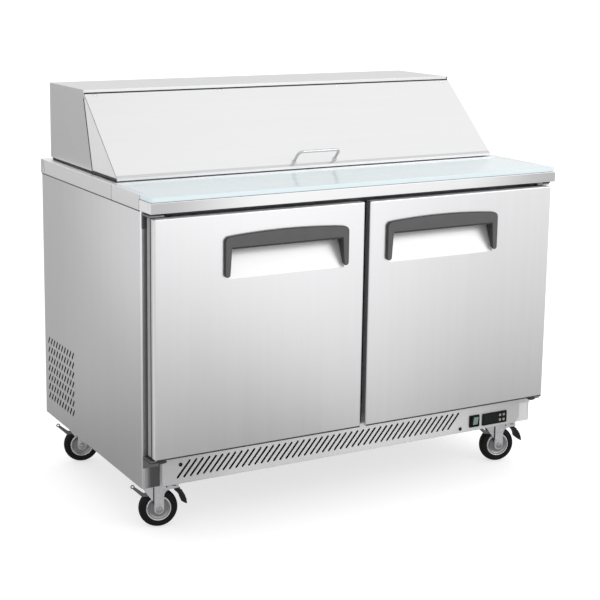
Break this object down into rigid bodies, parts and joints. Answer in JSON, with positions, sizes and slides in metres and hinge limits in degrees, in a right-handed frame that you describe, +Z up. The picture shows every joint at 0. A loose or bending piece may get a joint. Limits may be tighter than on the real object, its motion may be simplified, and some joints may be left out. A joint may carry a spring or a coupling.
{
  "type": "sandwich prep table",
  "caption": "Two-door refrigerated sandwich prep table: hinged lid over food pans, full-width cutting board, wire shelves, kick grille and swivel casters.",
  "frame": {"origin": "on the floor, under the middle of the overall box", "axes": "+X to the right seen from the front, +Y to the back, +Z up; the doors face -Y"},
  "size_m": [1.268, 0.768, 1.103],
  "materials": {
    "stainless": "brushed",
    "galvanised": "satin",
    "zinc": "zinc plated",
    "bright_rod": "polished",
    "board": "satin polyethylene",
    "dark_plastic": "satin",
    "frame_grey": "matt",
    "gasket": "matt",
    "liner": "satin",
    "black_gloss": "gloss",
    "black_paint": "satin",
    "rocker": "translucent gloss",
    "key_grey": "matt",
    "tyre": "matt",
    "aluminium": "satin"
  },
  "bodies": {
    "cabinet": {"left_side_panel": "stainless", "right_side_panel": "stainless", "rear_panel": "galvanised", "base_pan": "galvanised", "insulated_liner": "liner", "front_frame": "frame_grey", "worktop": "stainless", "pan_rail": "stainless", "rear_hood": "stainless", "front_grille": "stainless", "control_housing": "black_gloss", "compressor": "black_paint", "condenser_coil": "aluminium", "evaporator": "aluminium", "left_shelf": "bright_rod", "right_shelf": "bright_rod", "food_pan_1": "stainless", "food_pan_2": "stainless", "food_pan_3": "stainless", "food_pan_4": "stainless", "food_pan_5": "stainless", "food_pan_6": "stainless", "left_lower_hinge": "zinc", "left_upper_hinge": "zinc", "right_lower_hinge": "zinc", "right_upper_hinge": "zinc", "caster_plate_front_left": "zinc", "caster_plate_front_right": "zinc", "caster_plate_rear_left": "zinc", "caster_plate_rear_right": "zinc"},
    "lid": {"front_lid": "stainless", "lid_handle": "bright_rod"},
    "board": {"cutting_board": "board"},
    "rocker": {"power_rocker": "rocker"},
    "condenser_fan_body": {"condenser_fan": "black_paint"},
    "evaporator_fan_body": {"evaporator_fan": "dark_plastic"},
    "left_door": {"left_door_skin": "stainless", "left_door_core": "liner", "left_door_gasket": "gasket", "left_door_handle": "dark_plastic"},
    "right_door": {"right_door_skin": "stainless", "right_door_core": "liner", "right_door_gasket": "gasket", "right_door_handle": "dark_plastic"},
    "key_1": {"controller_key_1": "key_grey"},
    "key_2": {"controller_key_2": "key_grey"},
    "key_3": {"controller_key_3": "key_grey"},
    "key_4": {"controller_key_4": "key_grey"},
    "swivel_front_left": {"caster_fork_front_left": "zinc"},
    "wheel_front_left": {"caster_wheel_front_left": "tyre"},
    "brake_front_left": {"caster_brake_front_left": "black_paint"},
    "swivel_front_right": {"caster_fork_front_right": "zinc"},
    "wheel_front_right": {"caster_wheel_front_right": "tyre"},
    "brake_front_right": {"caster_brake_front_right": "black_paint"},
    "swivel_rear_left": {"caster_fork_rear_left": "zinc"},
    "wheel_rear_left": {"caster_wheel_rear_left": "tyre"},
    "brake_rear_left": {"caster_brake_rear_left": "black_paint"},
    "swivel_rear_right": {"caster_fork_rear_right": "zinc"},
    "wheel_rear_right": {"caster_wheel_rear_right": "tyre"},
    "brake_rear_right": {"caster_brake_rear_right": "black_paint"}
  },
  "joints": [
    {"name": "lid_hinge", "type": "hinge", "parent": "cabinet", "child": "lid", "pos_m": [0, 0.102, 1.087], "axis": [-1, 0, 0], "range_deg": [0, 135]},
    {"name": "left_door_hinge", "type": "hinge", "parent": "cabinet", "child": "left_door", "pos_m": [-0.585, -0.346, 0.532], "axis": [0, 0, -1], "range_deg": [0, 110]},
    {"name": "right_door_hinge", "type": "hinge", "parent": "cabinet", "child": "right_door", "pos_m": [0.585, -0.346, 0.532], "axis": [0, 0, 1], "range_deg": [0, 110]},
    {"name": "board_lift", "type": "slide", "parent": "cabinet", "child": "board", "axis": [0, 0, 1], "range_m": [0, 0.035]},
    {"name": "rocker_tilt", "type": "hinge", "parent": "cabinet", "child": "rocker", "pos_m": [0.4015, -0.324, 0.1715], "axis": [-1, 0, 0], "range_deg": [0, 18]},
    {"name": "condenser_fan_spin", "type": "hinge", "parent": "cabinet", "child": "condenser_fan_body", "pos_m": [-0.508, 0.252, 0.266], "axis": [1, 0, 0], "continuous": true},
    {"name": "evaporator_fan_spin", "type": "hinge", "parent": "cabinet", "child": "evaporator_fan_body", "pos_m": [0, 0.286, 0.595], "axis": [0, 1, 0], "continuous": true},
    {"name": "key_1_press", "type": "slide", "parent": "cabinet", "child": "key_1", "axis": [0, 1, 0], "range_m": [0, 0.001], "stiffness_N_per_m": 300, "springref_m": -0.0005},
    {"name": "key_2_press", "type": "slide", "parent": "cabinet", "child": "key_2", "axis": [0, 1, 0], "range_m": [0, 0.001], "stiffness_N_per_m": 300, "springref_m": -0.0005},
    {"name": "key_3_press", "type": "slide", "parent": "cabinet", "child": "key_3", "axis": [0, 1, 0], "range_m": [0, 0.001], "stiffness_N_per_m": 300, "springref_m": -0.0005},
    {"name": "key_4_press", "type": "slide", "parent": "cabinet", "child": "key_4", "axis": [0, 1, 0], "range_m": [0, 0.001], "stiffness_N_per_m": 300, "springref_m": -0.0005},
    {"name": "swivel_front_left_turn", "type": "hinge", "parent": "cabinet", "child": "swivel_front_left", "pos_m": [-0.545, -0.23, 0.13], "axis": [0, 0, 1], "continuous": true},
    {"name": "wheel_front_left_roll", "type": "hinge", "parent": "swivel_front_left", "child": "wheel_front_left", "pos_m": [-0.53142, -0.23339, 0.051], "axis": [0.2419, 0.9703, 0], "continuous": true},
    {"name": "brake_front_left_press", "type": "hinge", "parent": "swivel_front_left", "child": "brake_front_left", "pos_m": [-0.545, -0.23, 0.109], "axis": [0.2419, 0.9703, 0], "range_deg": [0, 5]},
    {"name": "swivel_front_right_turn", "type": "hinge", "parent": "cabinet", "child": "swivel_front_right", "pos_m": [0.545, -0.23, 0.13], "axis": [0, 0, 1], "continuous": true},
    {"name": "wheel_front_right_roll", "type": "hinge", "parent": "swivel_front_right", "child": "wheel_front_right", "pos_m": [0.55858, -0.23339, 0.051], "axis": [0.2419, 0.9703, 0], "continuous": true},
    {"name": "brake_front_right_press", "type": "hinge", "parent": "swivel_front_right", "child": "brake_front_right", "pos_m": [0.545, -0.23, 0.109], "axis": [0.2419, 0.9703, 0], "range_deg": [0, 5]},
    {"name": "swivel_rear_left_turn", "type": "hinge", "parent": "cabinet", "child": "swivel_rear_left", "pos_m": [-0.545, 0.312, 0.13], "axis": [0, 0, 1], "continuous": true},
    {"name": "wheel_rear_left_roll", "type": "hinge", "parent": "swivel_rear_left", "child": "wheel_rear_left", "pos_m": [-0.53142, 0.30861, 0.051], "axis": [0.2419, 0.9703, 0], "continuous": true},
    {"name": "brake_rear_left_press", "type": "hinge", "parent": "swivel_rear_left", "child": "brake_rear_left", "pos_m": [-0.545, 0.312, 0.109], "axis": [0.2419, 0.9703, 0], "range_deg": [0, 5]},
    {"name": "swivel_rear_right_turn", "type": "hinge", "parent": "cabinet", "child": "swivel_rear_right", "pos_m": [0.545, 0.312, 0.13], "axis": [0, 0, 1], "continuous": true},
    {"name": "wheel_rear_right_roll", "type": "hinge", "parent": "swivel_rear_right", "child": "wheel_rear_right", "pos_m": [0.55858, 0.30861, 0.051], "axis": [0.2419, 0.9703, 0], "continuous": true},
    {"name": "brake_rear_right_press", "type": "hinge", "parent": "swivel_rear_right", "child": "brake_rear_right", "pos_m": [0.545, 0.312, 0.109], "axis": [0.2419, 0.9703, 0], "range_deg": [0, 5]}
  ]
}
